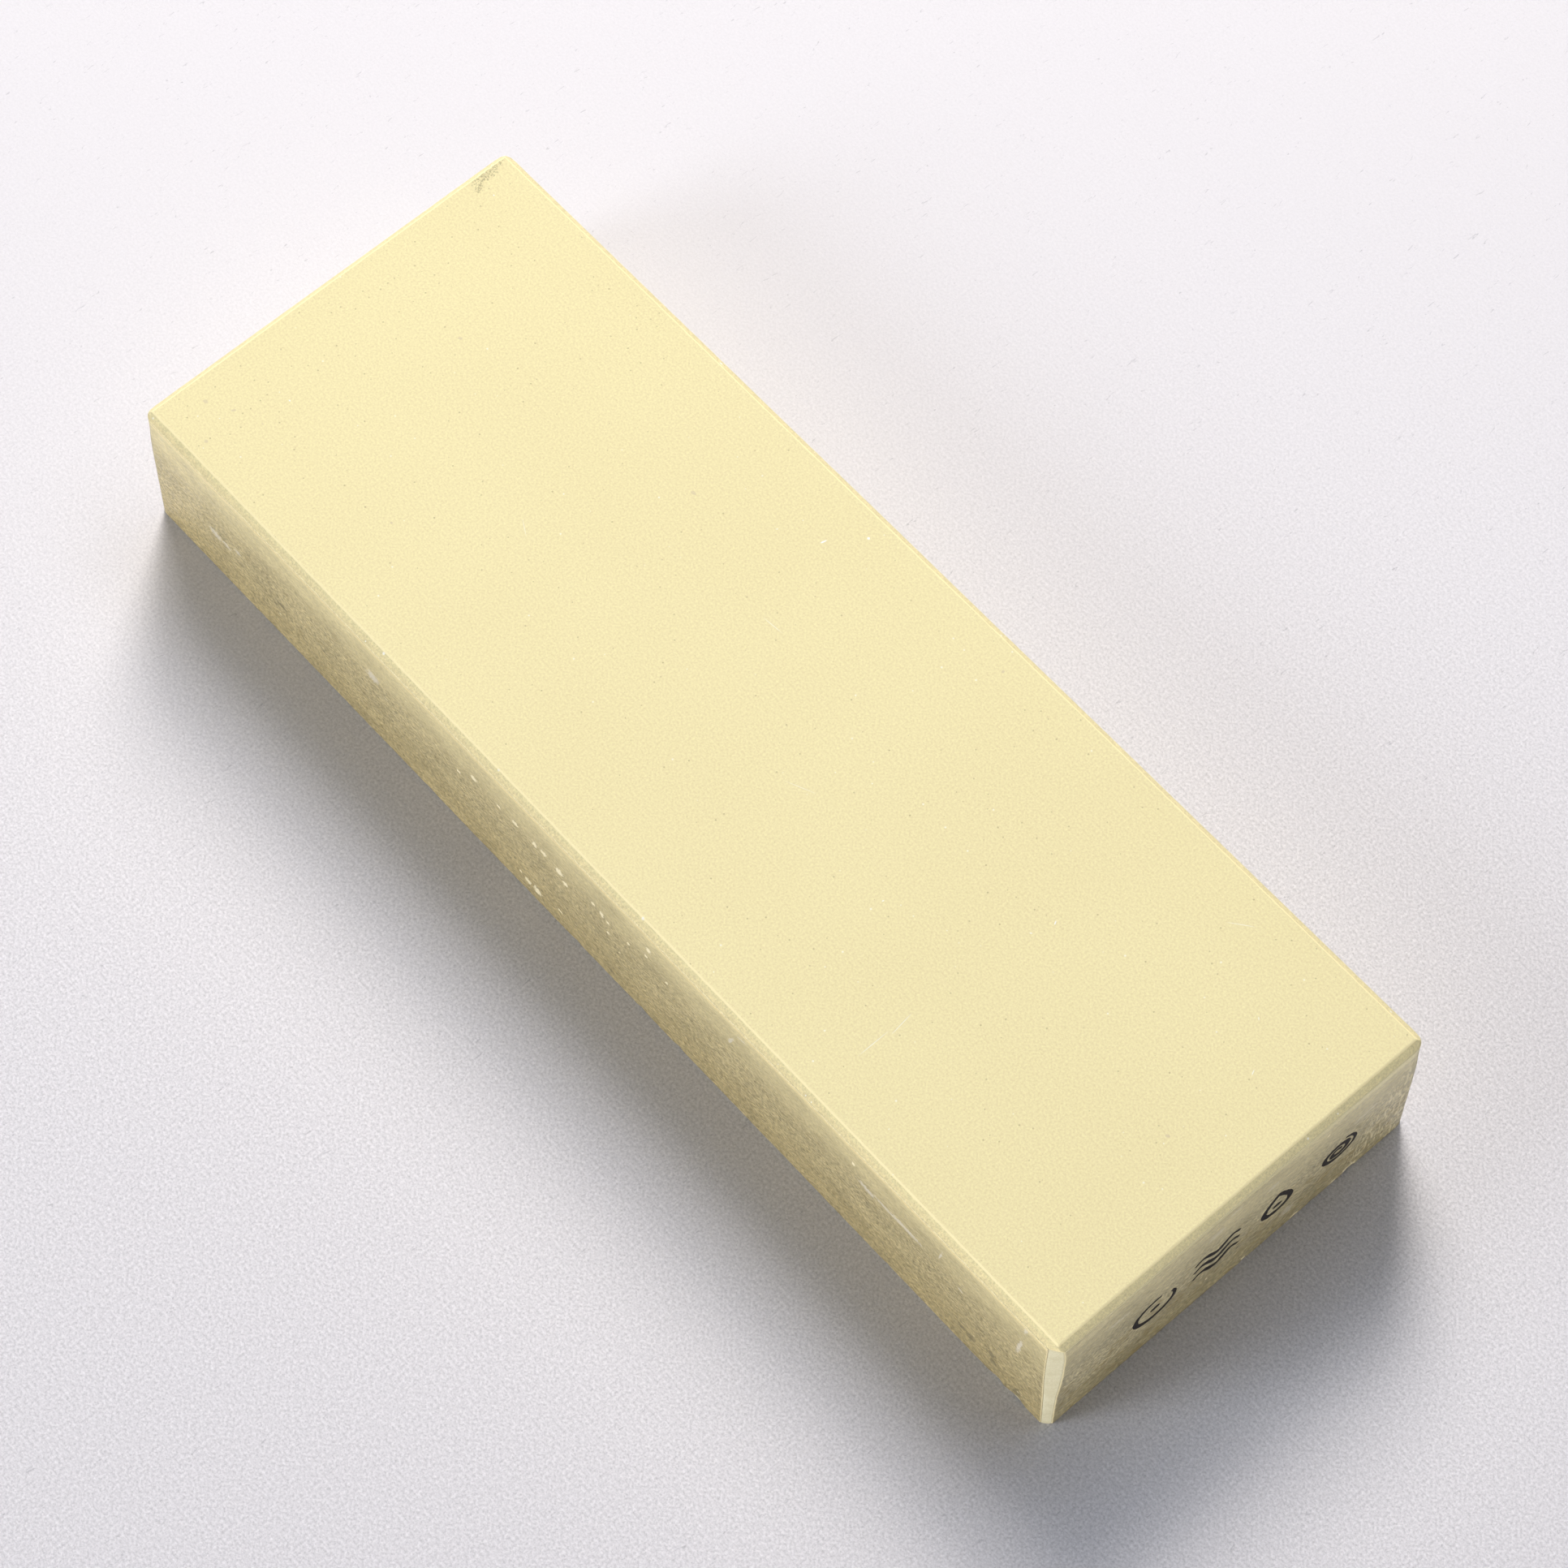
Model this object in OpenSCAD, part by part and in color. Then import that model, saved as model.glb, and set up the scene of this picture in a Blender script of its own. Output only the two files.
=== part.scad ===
// Bench whetstone: a bonded abrasive block, ground bare on its honing face and on its edges,
// with a thin sealing coat on each of its four sides and four brushed ink marks on one end.
// +X runs along the stone towards the marked end, +Z is up, and the origin is the centre of the underside.

/* [Stone] */
// Length of the stone, along X
stone_l = 205; // [150:1:250]
// Width of the stone, along Y
stone_w = 73; // [60:1:100]
// Height of the stone, along Z
stone_h = 30; // [20:1:60]

/* [Ground edges] */
// How far the bevel round the honing face reaches in from each side
bevel_in = 1.3; // [0.8:0.1:2.5]
// How far the same bevel reaches down each side
bevel_down = 1.3; // [0.8:0.1:3]
// Leg of the bevel on the upright corner at +X, -Y, which was ground by hand
corner_bevel = 1.8; // [1.2:0.1:4]
// Leg of the small bevel on the other three upright corners
corner_break = 0.9; // [0.9:0.05:2]
// Leg of the break round the underside
base_break = 0.35; // [0.2:0.05:1]

/* [Sealing coats] */
// Thickness of the sealing coat on the sides
coat_t = 0.15; // [0.1:0.05:0.4]

/* [Ink marks] */
// How deep the ink has soaked into the coat, level with its surface
ink_t = 0.03; // [0.01:0.01:0.08]
// Width of a full brush stroke
ink_w = 0.9; // [0.5:0.05:1]
// Width of one mark
mark_w = 9; // [8:0.5:10]
// Height of one mark
mark_h = 7.5; // [7:0.5:9]
// Distance from one mark's centre to the next
mark_pitch = 12.3; // [11:0.1:13]
// How far the middle of the row lies from the stone's centre line, along Y
mark_row_y = 2.4; // [-3:0.1:3]
// Height of the row above the underside, as a share of the stone's height
mark_row_share = 0.45; // [0.4:0.01:0.6]

/* [Hidden] */

half_l = stone_l / 2;
half_w = stone_w / 2;
spill = 2;            // how far a cutting box reaches past the stone
steps = 48;           // pieces in one brush stroke's centre line
thin_end = 0.45;      // a stroke's width at its ends, as a share of its full width

stone_colour = [0.95, 0.90, 0.71];
coat_colour = [0.64, 0.59, 0.46];
ink_colour = [0.09, 0.08, 0.08];

// The stone seen from above, with its four upright corners cut off
plan_outline = [
    [half_l, corner_bevel - half_w], [half_l, half_w - corner_break],
    [half_l - corner_break, half_w], [corner_break - half_l, half_w],
    [-half_l, half_w - corner_break], [-half_l, corner_break - half_w],
    [corner_break - half_l, -half_w], [half_l - corner_bevel, -half_w]
];

// The stone cut across, for half its width there: bevels at the top, small breaks at the bottom
function section_outline(half) = [
    [base_break - half, 0], [half - base_break, 0],
    [half, base_break], [half, stone_h - bevel_down],
    [half - bevel_in, stone_h], [bevel_in - half, stone_h],
    [-half, stone_h - bevel_down], [-half, base_break]
];

// The whole outer form, coats included: the space that its plan and its two sections share
module stone_form() {
    intersection() {
        linear_extrude(height = stone_h) polygon(plan_outline);
        rotate([90, 0, 90]) linear_extrude(height = stone_l, center = true)
            polygon(section_outline(half_w));
        rotate([90, 0, 0]) linear_extrude(height = stone_w, center = true)
            polygon(section_outline(half_l));
    }
}

// The abrasive itself: everything inside the coats
module abrasive_block() {
    color(stone_colour) intersection() {
        stone_form();
        translate([0, 0, stone_h / 2])
            cube([stone_l - 2 * coat_t, stone_w - 2 * coat_t, stone_h + 2 * spill], center = true);
    }
}

// The coat on one long side; side is -1 for the left one and 1 for the right one
module side_coat(side) {
    color(coat_colour) intersection() {
        stone_form();
        translate([0, side * (half_w + (spill - coat_t) / 2), stone_h / 2])
            cube([stone_l + spill, spill + coat_t, stone_h + spill], center = true);
    }
}

// The coat on one end; end is 1 for the marked one and -1 for the plain one
module end_coat(end) {
    color(coat_colour) intersection() {
        stone_form();
        translate([end * (half_l + (spill - coat_t) / 2), 0, stone_h / 2])
            cube([spill + coat_t, stone_w + spill, stone_h + spill], center = true);
    }
}

// The marked end's coat, without what the ink takes up
module marked_coat() {
    color(coat_colour) difference() {
        end_coat(1);
        for (place = [0:3]) ink_space(place, spill);
    }
}

// Half the width of a stroke at t, which runs from 0 to 1: full in the middle and thin at both ends
function half_stroke(t) = ink_w / 2 * (thin_end + (1 - thin_end) * sin(180 * t));

// The sideways direction at one point of a centre line
function sideways(line, i) =
    let (step = line[min(i + 1, steps)] - line[max(i - 1, 0)])
    [-step.y, step.x] / norm(step);

// The closed outline of a brush stroke: out along one side of its centre line, back along the other
function stroke_outline(line) = concat(
    [for (i = [0:steps]) line[i] + sideways(line, i) * half_stroke(i / steps)],
    [for (i = [steps:-1:0]) line[i] - sideways(line, i) * half_stroke(i / steps)]
);

// Centre lines of the strokes, round a mark's own centre
function ring_line(turn_from, turn_to) = [for (i = [0:steps])
    let (a = turn_from + (turn_to - turn_from) * i / steps)
    [cos(a) * (mark_w - ink_w) / 2, sin(a) * (mark_h - ink_w) / 2]];

function wave_line(rise) = [for (i = [0:steps])
    [(i / steps - 0.5) * mark_w, rise + sin(540 * i / steps) * mark_h / 9]];

// One side of a drop with its point at the top; side is -1 or 1
function drop_line(side) = [for (i = [0:steps])
    let (a = 180 * i / steps)
    [side * sin(a) * sin(a / 2) * mark_w / 2.6, cos(a) * (mark_h - ink_w) / 2]];

function spiral_line(turns) = [for (i = [0:steps])
    let (a = 360 * turns * i / steps, r = (mark_h - ink_w) / 2 * (0.12 + 0.88 * i / steps))
    [cos(a) * r * mark_w / mark_h, sin(a) * r]];

module stroke(line) {
    polygon(stroke_outline(line));
}

// The strokes of one mark: a ring with a dot, three waves, a drop with a dot, or a spiral
module mark_strokes(place) {
    if (place == 0) {
        stroke(ring_line(75, 395));
        circle(d = ink_w * 1.5, $fn = 32);
    }
    if (place == 1) for (rise = [-1, 0, 1]) stroke(wave_line(rise * mark_h * 0.34));
    if (place == 2) {
        for (side = [-1, 1]) stroke(drop_line(side));
        translate([0, -mark_h * 0.14]) circle(d = ink_w * 1.3, $fn = 32);
    }
    if (place == 3) stroke(spiral_line(2.2));
}

// The space of one mark's ink in the marked end, reaching proud of its surface;
// place counts the marks from -Y
module ink_space(place, proud) {
    translate([half_l - ink_t, mark_row_y + (place - 1.5) * mark_pitch, mark_row_share * stone_h])
        rotate([90, 0, 90]) linear_extrude(height = ink_t + proud) mark_strokes(place);
}

module ink_mark(place) {
    color(ink_colour) ink_space(place, 0);
}

abrasive_block();
side_coat(-1);  // side_coat_left
side_coat(1);  // side_coat_right
marked_coat();  // end_coat_marked
end_coat(-1);  // end_coat_plain
ink_mark(0);  // ink_mark_ring
ink_mark(1);  // ink_mark_waves
ink_mark(2);  // ink_mark_drop
ink_mark(3);  // ink_mark_spiral
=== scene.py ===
"""Looks for the bench whetstone: the ground abrasive block, its sealing coats, the ink marks,
and the paper, light and camera that it is shown with. Lengths are in metres, apart from those in
the materials and their tables of marks, which are in millimetres."""

import math
from collections import namedtuple

import bmesh
import bpy
from mathutils import Matrix, Vector, noise


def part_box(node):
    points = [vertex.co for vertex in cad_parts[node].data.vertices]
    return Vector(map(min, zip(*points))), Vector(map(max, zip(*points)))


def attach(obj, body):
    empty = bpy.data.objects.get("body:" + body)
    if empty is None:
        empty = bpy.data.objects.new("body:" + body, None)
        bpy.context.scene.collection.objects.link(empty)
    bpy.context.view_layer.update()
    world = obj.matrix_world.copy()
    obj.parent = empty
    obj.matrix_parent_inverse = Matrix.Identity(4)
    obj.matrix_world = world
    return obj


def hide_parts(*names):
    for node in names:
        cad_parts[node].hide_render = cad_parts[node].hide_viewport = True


MM = 0.001

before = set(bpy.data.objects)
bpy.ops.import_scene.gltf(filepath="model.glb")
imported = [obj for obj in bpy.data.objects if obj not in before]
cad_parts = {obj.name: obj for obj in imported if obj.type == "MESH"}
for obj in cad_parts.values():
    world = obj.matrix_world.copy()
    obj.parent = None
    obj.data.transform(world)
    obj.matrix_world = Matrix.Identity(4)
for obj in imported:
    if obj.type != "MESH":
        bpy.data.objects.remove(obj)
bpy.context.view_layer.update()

# ---- Sizes ----
# The outer sizes and the coat's come from the frame. Those of the ground edges are the CAD model's.
MARKED_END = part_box("end_coat_marked")
RIGHT_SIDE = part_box("side_coat_right")
HALF_L = MARKED_END[1].x
HALF_W = RIGHT_SIDE[1].y
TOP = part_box("abrasive_block")[1].z
COAT = RIGHT_SIDE[1].y - RIGHT_SIDE[0].y

BEVEL_IN = 1.3 * MM          # the bevel round the honing face, seen from above
BEVEL_DOWN = 1.3 * MM        # the same bevel, seen from the side
CORNER_LEG = 1.8 * MM        # the hand-ground upright corner at +X, -Y
SMALL_LEG = 0.9 * MM         # the other three upright corners, worn wider near the top
BASE_BREAK = 0.35 * MM       # the break round the underside
EDGE_ROUND = 0.12 * MM       # the honing face turns into its bevel over this width

# The four sides, counter-clockwise from above: left side, marked end, right side, plain end
Side = namedtuple("Side", "start run inward length")
SIDES = (
    Side(Vector((-HALF_L, -HALF_W)), Vector((1, 0)), Vector((0, 1)), 2 * HALF_L),
    Side(Vector((HALF_L, -HALF_W)), Vector((0, 1)), Vector((-1, 0)), 2 * HALF_W),
    Side(Vector((HALF_L, HALF_W)), Vector((-1, 0)), Vector((0, -1)), 2 * HALF_L),
    Side(Vector((-HALF_L, HALF_W)), Vector((0, -1)), Vector((1, 0)), 2 * HALF_W),
)


# ---- Shape of the worn and ground edges, as functions of place ----
def wobble(point, cell, seed):
    """Smooth noise from about -1 to 1 that changes over the length cell."""
    return noise.noise(Vector(point) / cell + Vector((seed * 7.31, seed * 3.17, seed * 5.93)))


def hump(x, centre, half_width):
    """1 at the centre, falling smoothly to 0 at half_width from it."""
    t = min(abs(x - centre) / half_width, 1.0)
    return (1 - t * t) ** 2


def rise_between(value, low, high):
    """0 up to low, 1 from high on, and smooth between them."""
    t = min(max((value - low) / (high - low), 0), 1)
    return t * t * (3 - 2 * t)


def side_at(side, along):
    """The point on the outer outline of a side at a distance along it, as x, y, 0."""
    return Vector((*(SIDES[side].start + SIDES[side].run * along), 0))


def steady(side, along):
    """1 along most of a side, and 0 at its two ends, so that neighbouring bevels meet in a clean mitre."""
    return rise_between(min(along, SIDES[side].length - along), 2 * MM, 6 * MM)


def bevel_down_at(side, along):
    """How far the bevel reaches down the side there: it was ground by hand, so it wanders a little."""
    p = side_at(side, along)
    wander = 0.09 * wobble(p, 31 * MM, side + 1) + 0.04 * wobble(p, 2.3 * MM, side + 11)
    return BEVEL_DOWN * (1 + wander * steady(side, along))


def bevel_in_at(side, along):
    """How far the bevel reaches into the honing face there."""
    p = side_at(side, along)
    wander = 0.05 * wobble(p, 37 * MM, side + 21) + 0.03 * wobble(p, 1.7 * MM, side + 31)
    return BEVEL_IN * (1 + wander * steady(side, along))


# Chips out of the bottom edge: side, then distance along it, half length and depth in millimetres
BASE_CHIPS = [(side, along * MM, half * MM, depth * MM) for side, along, half, depth in (
    (0, 66, 0.9, 0.20), (0, 101, 1.2, 0.20), (0, 116, 1.1, 0.35), (0, 124.5, 1.3, 0.35),
    (0, 171, 1.0, 0.20), (0, 194.5, 1.6, 0.60), (0, 198.6, 2.2, 0.75), (1, 24, 0.8, 0.25),
    (1, 40, 0.9, 0.25), (1, 53.5, 0.9, 0.35), (1, 61.5, 1.5, 0.7), (2, 48, 1.3, 0.45),
    (2, 131, 1.0, 0.35), (3, 22, 1.2, 0.40), (3, 51, 0.8, 0.30),
)]


def base_break_at(side, along):
    """How far the break of the bottom edge reaches up and in there, chips included."""
    p = side_at(side, along)
    size = BASE_BREAK * (1 + 0.35 * wobble(p, 1.3 * MM, side + 41) + 0.25 * wobble(p, 9 * MM, side + 51))
    for chip_side, centre, half, depth in BASE_CHIPS:
        if chip_side == side and abs(along - centre) < half:
            size += depth * hump(along, centre, half) * (1 + 0.4 * wobble(p, 0.6 * MM, 61))
    return size


def corner_legs(corner, z):
    """Legs of the bevel on an upright corner at height z: on the side before it, and on the one after.
    The first corner's bevel narrows downwards, and the others are worn wider near the top."""
    drift = [wobble((z, corner * 1.0, side), 4 * MM, 73) * 0.05 * MM for side in (0, 1)]
    if corner == 0:
        before = CORNER_LEG * (0.72 + 0.43 * rise_between(z, -2 * MM, 22 * MM))
        after = CORNER_LEG * (0.70 + 0.39 * rise_between(z, 9 * MM, 19 * MM)
                              - 0.33 * rise_between(z, 24 * MM, TOP))
        return before + drift[0], after + drift[1]
    worn = SMALL_LEG * (1 + 0.7 * rise_between(z, 19 * MM, 28 * MM))
    return worn + 2 * drift[0], worn + 2 * drift[1]


# ---- A net of points and faces ----
def border_of(rows):
    """The four borders of a grid of rows, counter-clockwise from its first row."""
    return rows[0], [row[-1] for row in rows], rows[-1][::-1], [row[0] for row in rows][::-1]


class Net:
    """Collects rows of points and the faces between them, with a material slot for each face."""

    def __init__(self):
        self.points = []
        self.faces = []
        self.slots = []

    def row(self, points):
        first = len(self.points)
        self.points.extend(points)
        return list(range(first, len(self.points)))

    def face(self, corners, slot):
        if len(set(corners)) > 2:
            self.faces.append(corners)
            self.slots.append(slot)

    def weave(self, low, high, slot=0):
        """Quads between two open rows of the same length."""
        for i in range(len(low) - 1):
            self.face((low[i], low[i + 1], high[i + 1], high[i]), slot)

    def stitch(self, low, high, slot=0):
        """Triangles between two open rows of any lengths."""
        i = j = 0
        last_i, last_j = len(low) - 1, len(high) - 1
        while i < last_i or j < last_j:
            low_next = (i + 1) / last_i if i < last_i else 2
            high_next = (j + 1) / last_j if j < last_j else 2
            if low_next <= high_next:
                self.face((low[i], low[i + 1], high[j]), slot)
                i += 1
            else:
                self.face((low[i], high[j + 1], high[j]), slot)
                j += 1

    def panel(self, corners, counts, slot=0):
        """A flat grid between four corner points, given counter-clockwise. Returns its four border rows."""
        a, b, c, d = (Vector(p) for p in corners)
        across, up = counts
        rows = []
        for j in range(up + 1):
            left, right = a.lerp(d, j / up), b.lerp(c, j / up)
            rows.append(self.row([left.lerp(right, i / across) for i in range(across + 1)]))
        for low, high in zip(rows, rows[1:]):
            self.weave(low, high, slot)
        return border_of(rows)

    def join(self, rings, slots, join_rows):
        """Joins each ring to the next, piece by piece, with weave or stitch."""
        for low_ring, high_ring in zip(rings, rings[1:]):
            for low_row, high_row, slot in zip(low_ring, high_ring, slots):
                join_rows(low_row, high_row, slot)

    def object(self, name, materials):
        mesh = bpy.data.meshes.new(name)
        mesh.from_pydata([tuple(p) for p in self.points], [], self.faces)
        for material in materials:
            mesh.materials.append(material)
        mesh.polygons.foreach_set("material_index", self.slots)
        mesh.polygons.foreach_set("use_smooth", [True] * len(self.faces))
        mesh.update()
        obj = bpy.data.objects.new(name, mesh)
        bpy.context.scene.collection.objects.link(obj)
        return obj


def displace(obj, height):
    """Moves each vertex along its normal by height(place)."""
    mesh = obj.data
    mesh.update()
    for vertex, normal in zip(mesh.vertices, [n.vector.copy() for n in mesh.vertex_normals]):
        vertex.co += normal * height(vertex.co)
    mesh.update()


# ---- The abrasive block ----
FINE = 0.25 * MM             # spacing along a ground edge
COARSE = 3 * MM              # spacing along the sides behind the coats, and over the underside
FACE_CELL = 2 * MM           # spacing over the honing face
LID_MARGIN = 3 * MM          # how far a flat grid stays inside its ring
BASE_ROWS, SIDE_ROWS, BEVEL_ROWS = 2, 110, 9
BREAK_GAP = 1.6              # the sides' first ring is at this many times the bottom break's height
BEVEL_GAP = 0.25 * MM        # and their last ring is this far below the bevel
CORNER_STEPS = 8             # cells across an upright corner's bevel
CORNER_SOFT = 0.45 * MM      # how gently a corner's bevel runs out where the top bevels meet
CORNER_BULGE = (0.02, 0.15, 0.15, 0.15)   # how far each corner is crowned, as a share of its width

# The block's material slots, and which of them a ring's four sides and corners have: bare behind the
# coats and on the first corner, and coated on the other corners
HONED, GRANULAR, RUBBED, COATED = range(4)
UPRIGHT = (RUBBED, RUBBED, RUBBED, COATED, RUBBED, COATED, RUBBED, COATED)


def soft_max(a, b, soft):
    """The larger of two, with a soft turn from one to the other."""
    return (a + b + math.hypot(a - b, soft)) / 2


def side_limits(side, z, depth):
    """Where a side begins and ends along its run at height z, on the surface that lies depth inside it,
    when its neighbours' surfaces lie as far inside theirs."""
    before = corner_legs((side - 1) % 4, z)   # the corner that the side starts from
    after = corner_legs(side, z)
    start = soft_max(before[1] * (1 - depth / before[0]), depth, CORNER_SOFT)
    end = soft_max(after[0] * (1 - depth / after[1]), depth, CORNER_SOFT)
    return start, SIDES[side].length - end


def ring_pieces(z_of, depth_of, z_legs, counts):
    """One closed ring round the stone as eight open rows: each side, then the corner that follows it.
    z_of and depth_of take a side and a distance along it; z_legs is the height that sets the corners,
    and counts is how many cells the long sides and the ends have."""
    rows = []
    for side, (start, run, inward, length) in enumerate(SIDES):
        depth = depth_of(side, 0.5 * length)
        first, last = side_limits(side, z_legs, depth)
        row = []
        for i in range(counts[side % 2] + 1):
            along = first + (last - first) * i / counts[side % 2]
            at = start + run * along + inward * depth_of(side, along)
            row.append(Vector((at.x, at.y, z_of(side, along))))
        rows.append(row)
    pieces = []
    for side in range(4):
        begin, end = rows[side][-1], rows[(side + 1) % 4][0]
        out = -(SIDES[side].inward + SIDES[(side + 1) % 4].inward).normalized()
        crown = Vector((*out, 0)) * (end - begin).length * CORNER_BULGE[side]
        arc = [begin.lerp(end, i / CORNER_STEPS) + crown * math.sin(math.pi * i / CORNER_STEPS)
               for i in range(CORNER_STEPS + 1)]
        pieces += [rows[side], arc]
    return pieces


def close_ring(net, pieces):
    """Adds a ring's points once each, and returns its eight rows of indices with shared ends."""
    loose = [net.row(piece[:-1]) for piece in pieces]
    return [row + [loose[(i + 1) % 8][0]] for i, row in enumerate(loose)]


def lid(net, ring, z, slot, cell):
    """Fills a ring with a coarse flat grid, stitched to it all round."""
    x, y = HALF_L - LID_MARGIN, HALF_W - LID_MARGIN
    corners = [(-x, -y, z), (x, -y, z), (x, y, z), (-x, y, z)]
    borders = net.panel(corners, (round(2 * x / cell), round(2 * y / cell)), slot)
    for side in range(4):
        net.stitch(ring[2 * side], borders[side], slot)
        net.stitch(ring[2 * side + 1], [borders[side][-1]], slot)


def pulled_in(p):
    """A point of the honing face's border, moved a little towards the middle of the face."""
    return Vector((p.x * (1 - EDGE_ROUND / HALF_L), p.y * (1 - EDGE_ROUND / HALF_W), p.z))


def base_ring(share, counts):
    """The ring that lies a share of the way up the break of the bottom edge."""
    return ring_pieces(lambda side, along: base_break_at(side, along) * share,
                       lambda side, along: base_break_at(side, along) * (1 - share),
                       BASE_BREAK, counts)


def side_ring(z, counts):
    """The ring at height z on the flat sides behind the coats."""
    return ring_pieces(lambda side, along: z, lambda side, along: COAT, z, counts)


def bevel_ring(share, counts):
    """The ring that lies a share of the way up the top bevel, from where it would meet the bare side."""
    return ring_pieces(lambda side, along: TOP - bevel_down_at(side, along) * (1 - share),
                       lambda side, along: bevel_in_at(side, along) * share,
                       TOP - BEVEL_DOWN * (1 - share), counts)


def add_rings(net, ring_at, first, last, steps, counts):
    """Evenly spaced rings, from ring_at(first) to ring_at(last)."""
    places = [first + (last - first) * i / steps for i in range(steps + 1)]
    return [close_ring(net, ring_at(place, counts)) for place in places]


def cells_along(cell):
    """How many cells of about this length the long sides and the ends have."""
    return round(2 * HALF_L / cell), round(2 * HALF_W / cell)


def block_net():
    """The block as one closed net: underside, break, sides behind the coats, bevels, honing face."""
    net = Net()
    fine, coarse = cells_along(FINE), cells_along(COARSE)
    coat_share = COAT / BEVEL_IN
    low = BASE_BREAK * BREAK_GAP
    high = TOP - BEVEL_DOWN * (1 - coat_share) - BEVEL_GAP

    base = add_rings(net, base_ring, 0, 1 - COAT / BASE_BREAK, BASE_ROWS, fine)
    lid(net, base[0], 0, RUBBED, COARSE)
    sides = add_rings(net, side_ring, low, high, SIDE_ROWS, coarse)
    bevel = add_rings(net, bevel_ring, coat_share, 1, BEVEL_ROWS, fine)
    face_ring = close_ring(net, [[pulled_in(p) for p in piece] for piece in bevel_ring(1, fine)])

    net.join(base, UPRIGHT, net.weave)
    net.join([base[-1], sides[0]], UPRIGHT, net.stitch)
    net.join(sides, UPRIGHT, net.weave)
    net.join([sides[-1], bevel[0]], UPRIGHT, net.stitch)
    net.join(bevel, [GRANULAR] * 8, net.weave)
    net.join([bevel[-1], face_ring], [HONED] * 8, net.weave)
    lid(net, face_ring, TOP, HONED, FACE_CELL)
    return net


def grit(p):
    """Height of the granular surface of the bevels; none on the faces, the corners or the underside."""
    from_top = (TOP - p.z) / BEVEL_DOWN
    if not 0.001 < from_top < 0.95:
        return 0.0
    inside = hump(from_top, 0.5, 0.52)
    return inside * (0.014 * MM * wobble(p, 0.42 * MM, 81) + 0.020 * MM * wobble(p, 1.3 * MM, 82))


# ---- The sealing coats ----
COAT_CELL = 0.36 * MM        # spacing over a coat's outer surface
INNER_CELL = 3 * MM          # spacing over its inner surface
INNER_MARGIN = 2.5 * MM      # how far the inner surface's grid stays inside its border
LOWEST = 0.02 * MM           # the inner surface stays this far above the underside
BORDER_FADE = 0.8 * MM       # the coat's relief dies out over this width at its borders
WORN_OVER = 1.2 * MM         # the coat is worn thin over this width towards a rounded corner
WORN_BY = 0.11 * MM          # and by this much at the corner


def coat_relief(side, along, z, limits):
    """Height of the coat's surface over its plane: long shallow dimples, rougher low down, and worn thin
    towards the rounded corners."""
    p = side_at(side, along) + Vector((0, 0, z))
    stretched = Vector((along / 1.6, z, side * 9 * MM))
    rough = 0.35 + 0.65 * min(max((0.72 * TOP - z) / (0.3 * TOP), 0), 1)
    height = -0.02 * MM
    height -= 0.030 * MM * rough * max(wobble(stretched, 0.8 * MM, side + 91) - 0.15, 0)
    height -= 0.025 * MM * rough * max(0.5 + 0.5 * wobble(stretched, 2.4 * MM, side + 92), 0)
    height -= 0.03 * MM * max(0.5 + 0.5 * wobble(p, 26 * MM, side + 93), 0)
    from_start, from_end = along - limits[0], limits[1] - along
    edge = min(from_start, from_end, z - BASE_BREAK, TOP - BEVEL_DOWN - z)
    worn = sum(max(1 - gap / WORN_OVER, 0) ** 2
               for gap, corner in ((from_start, (side - 1) % 4), (from_end, side)) if corner != 0)
    return height * min(max(edge / BORDER_FADE, 0), 1) - WORN_BY * worn


def place_on(side, along, depth, z):
    """The point at a distance along a side, a depth inside its plane, at height z."""
    start, run, inward, _ = SIDES[side]
    at = start + run * along + inward * depth
    return Vector((at.x, at.y, z))


def coat_rows(net, side, across, up):
    """A coat's rows of points: all of its outer surface's, and the border of its inner surface's."""
    outer, inner = [], []
    for j in range(up + 1):
        v = j / up
        z_row = BASE_BREAK + (TOP - BEVEL_DOWN - BASE_BREAK) * v
        limits = side_limits(side, z_row, 0)
        limits_in = side_limits(side, z_row, COAT)
        row, row_in = [], []
        for i in range(across + 1):
            u = i / across
            along = limits[0] + (limits[1] - limits[0]) * u
            base, bevel = base_break_at(side, along), bevel_down_at(side, along)
            z = base + (TOP - bevel - base) * v
            row.append(place_on(side, along, -coat_relief(side, along, z, limits), z))
            if i in (0, across) or j in (0, up):
                along_in = limits_in[0] + (limits_in[1] - limits_in[0]) * u
                reach = COAT * bevel / bevel_in_at(side, along) if j == up else -COAT if j == 0 else 0
                row_in.append(place_on(side, along_in, COAT, max(z + reach, LOWEST)))
        outer.append(net.row(row))
        inner.append(net.row(row_in))
    return outer, inner


def coat_net(side):
    """A coat as one closed net: its outer surface, its cut rim, and its flat inner surface."""
    net = Net()
    first, last = side_limits(side, TOP / 2, 0)
    outer, inner = coat_rows(net, side, round((last - first) / COAT_CELL), round(TOP / COAT_CELL))
    for low, high in zip(outer, outer[1:]):
        net.weave(low, high, 0)
    coated = (1, 1 if side == 0 else 0, 1, 1 if side == 1 else 0)   # only the first corner is bare
    inner_rim = border_of(inner)
    for out_row, in_row, slot in zip(border_of(outer), inner_rim, coated):
        net.weave(in_row, out_row, slot)

    left, right = first + INNER_MARGIN, last - INNER_MARGIN
    low, high = INNER_MARGIN, TOP - BEVEL_DOWN - INNER_MARGIN
    corners = [place_on(side, along, COAT, z)
               for along, z in ((left, low), (right, low), (right, high), (left, high))]
    counts = (round((last - first - 2 * INNER_MARGIN) / INNER_CELL),
              round((TOP - 2 * INNER_MARGIN) / INNER_CELL))
    for in_row, border in zip(inner_rim, net.panel(corners, counts, 1)):
        net.stitch(in_row, border, 1)
    return net


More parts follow.
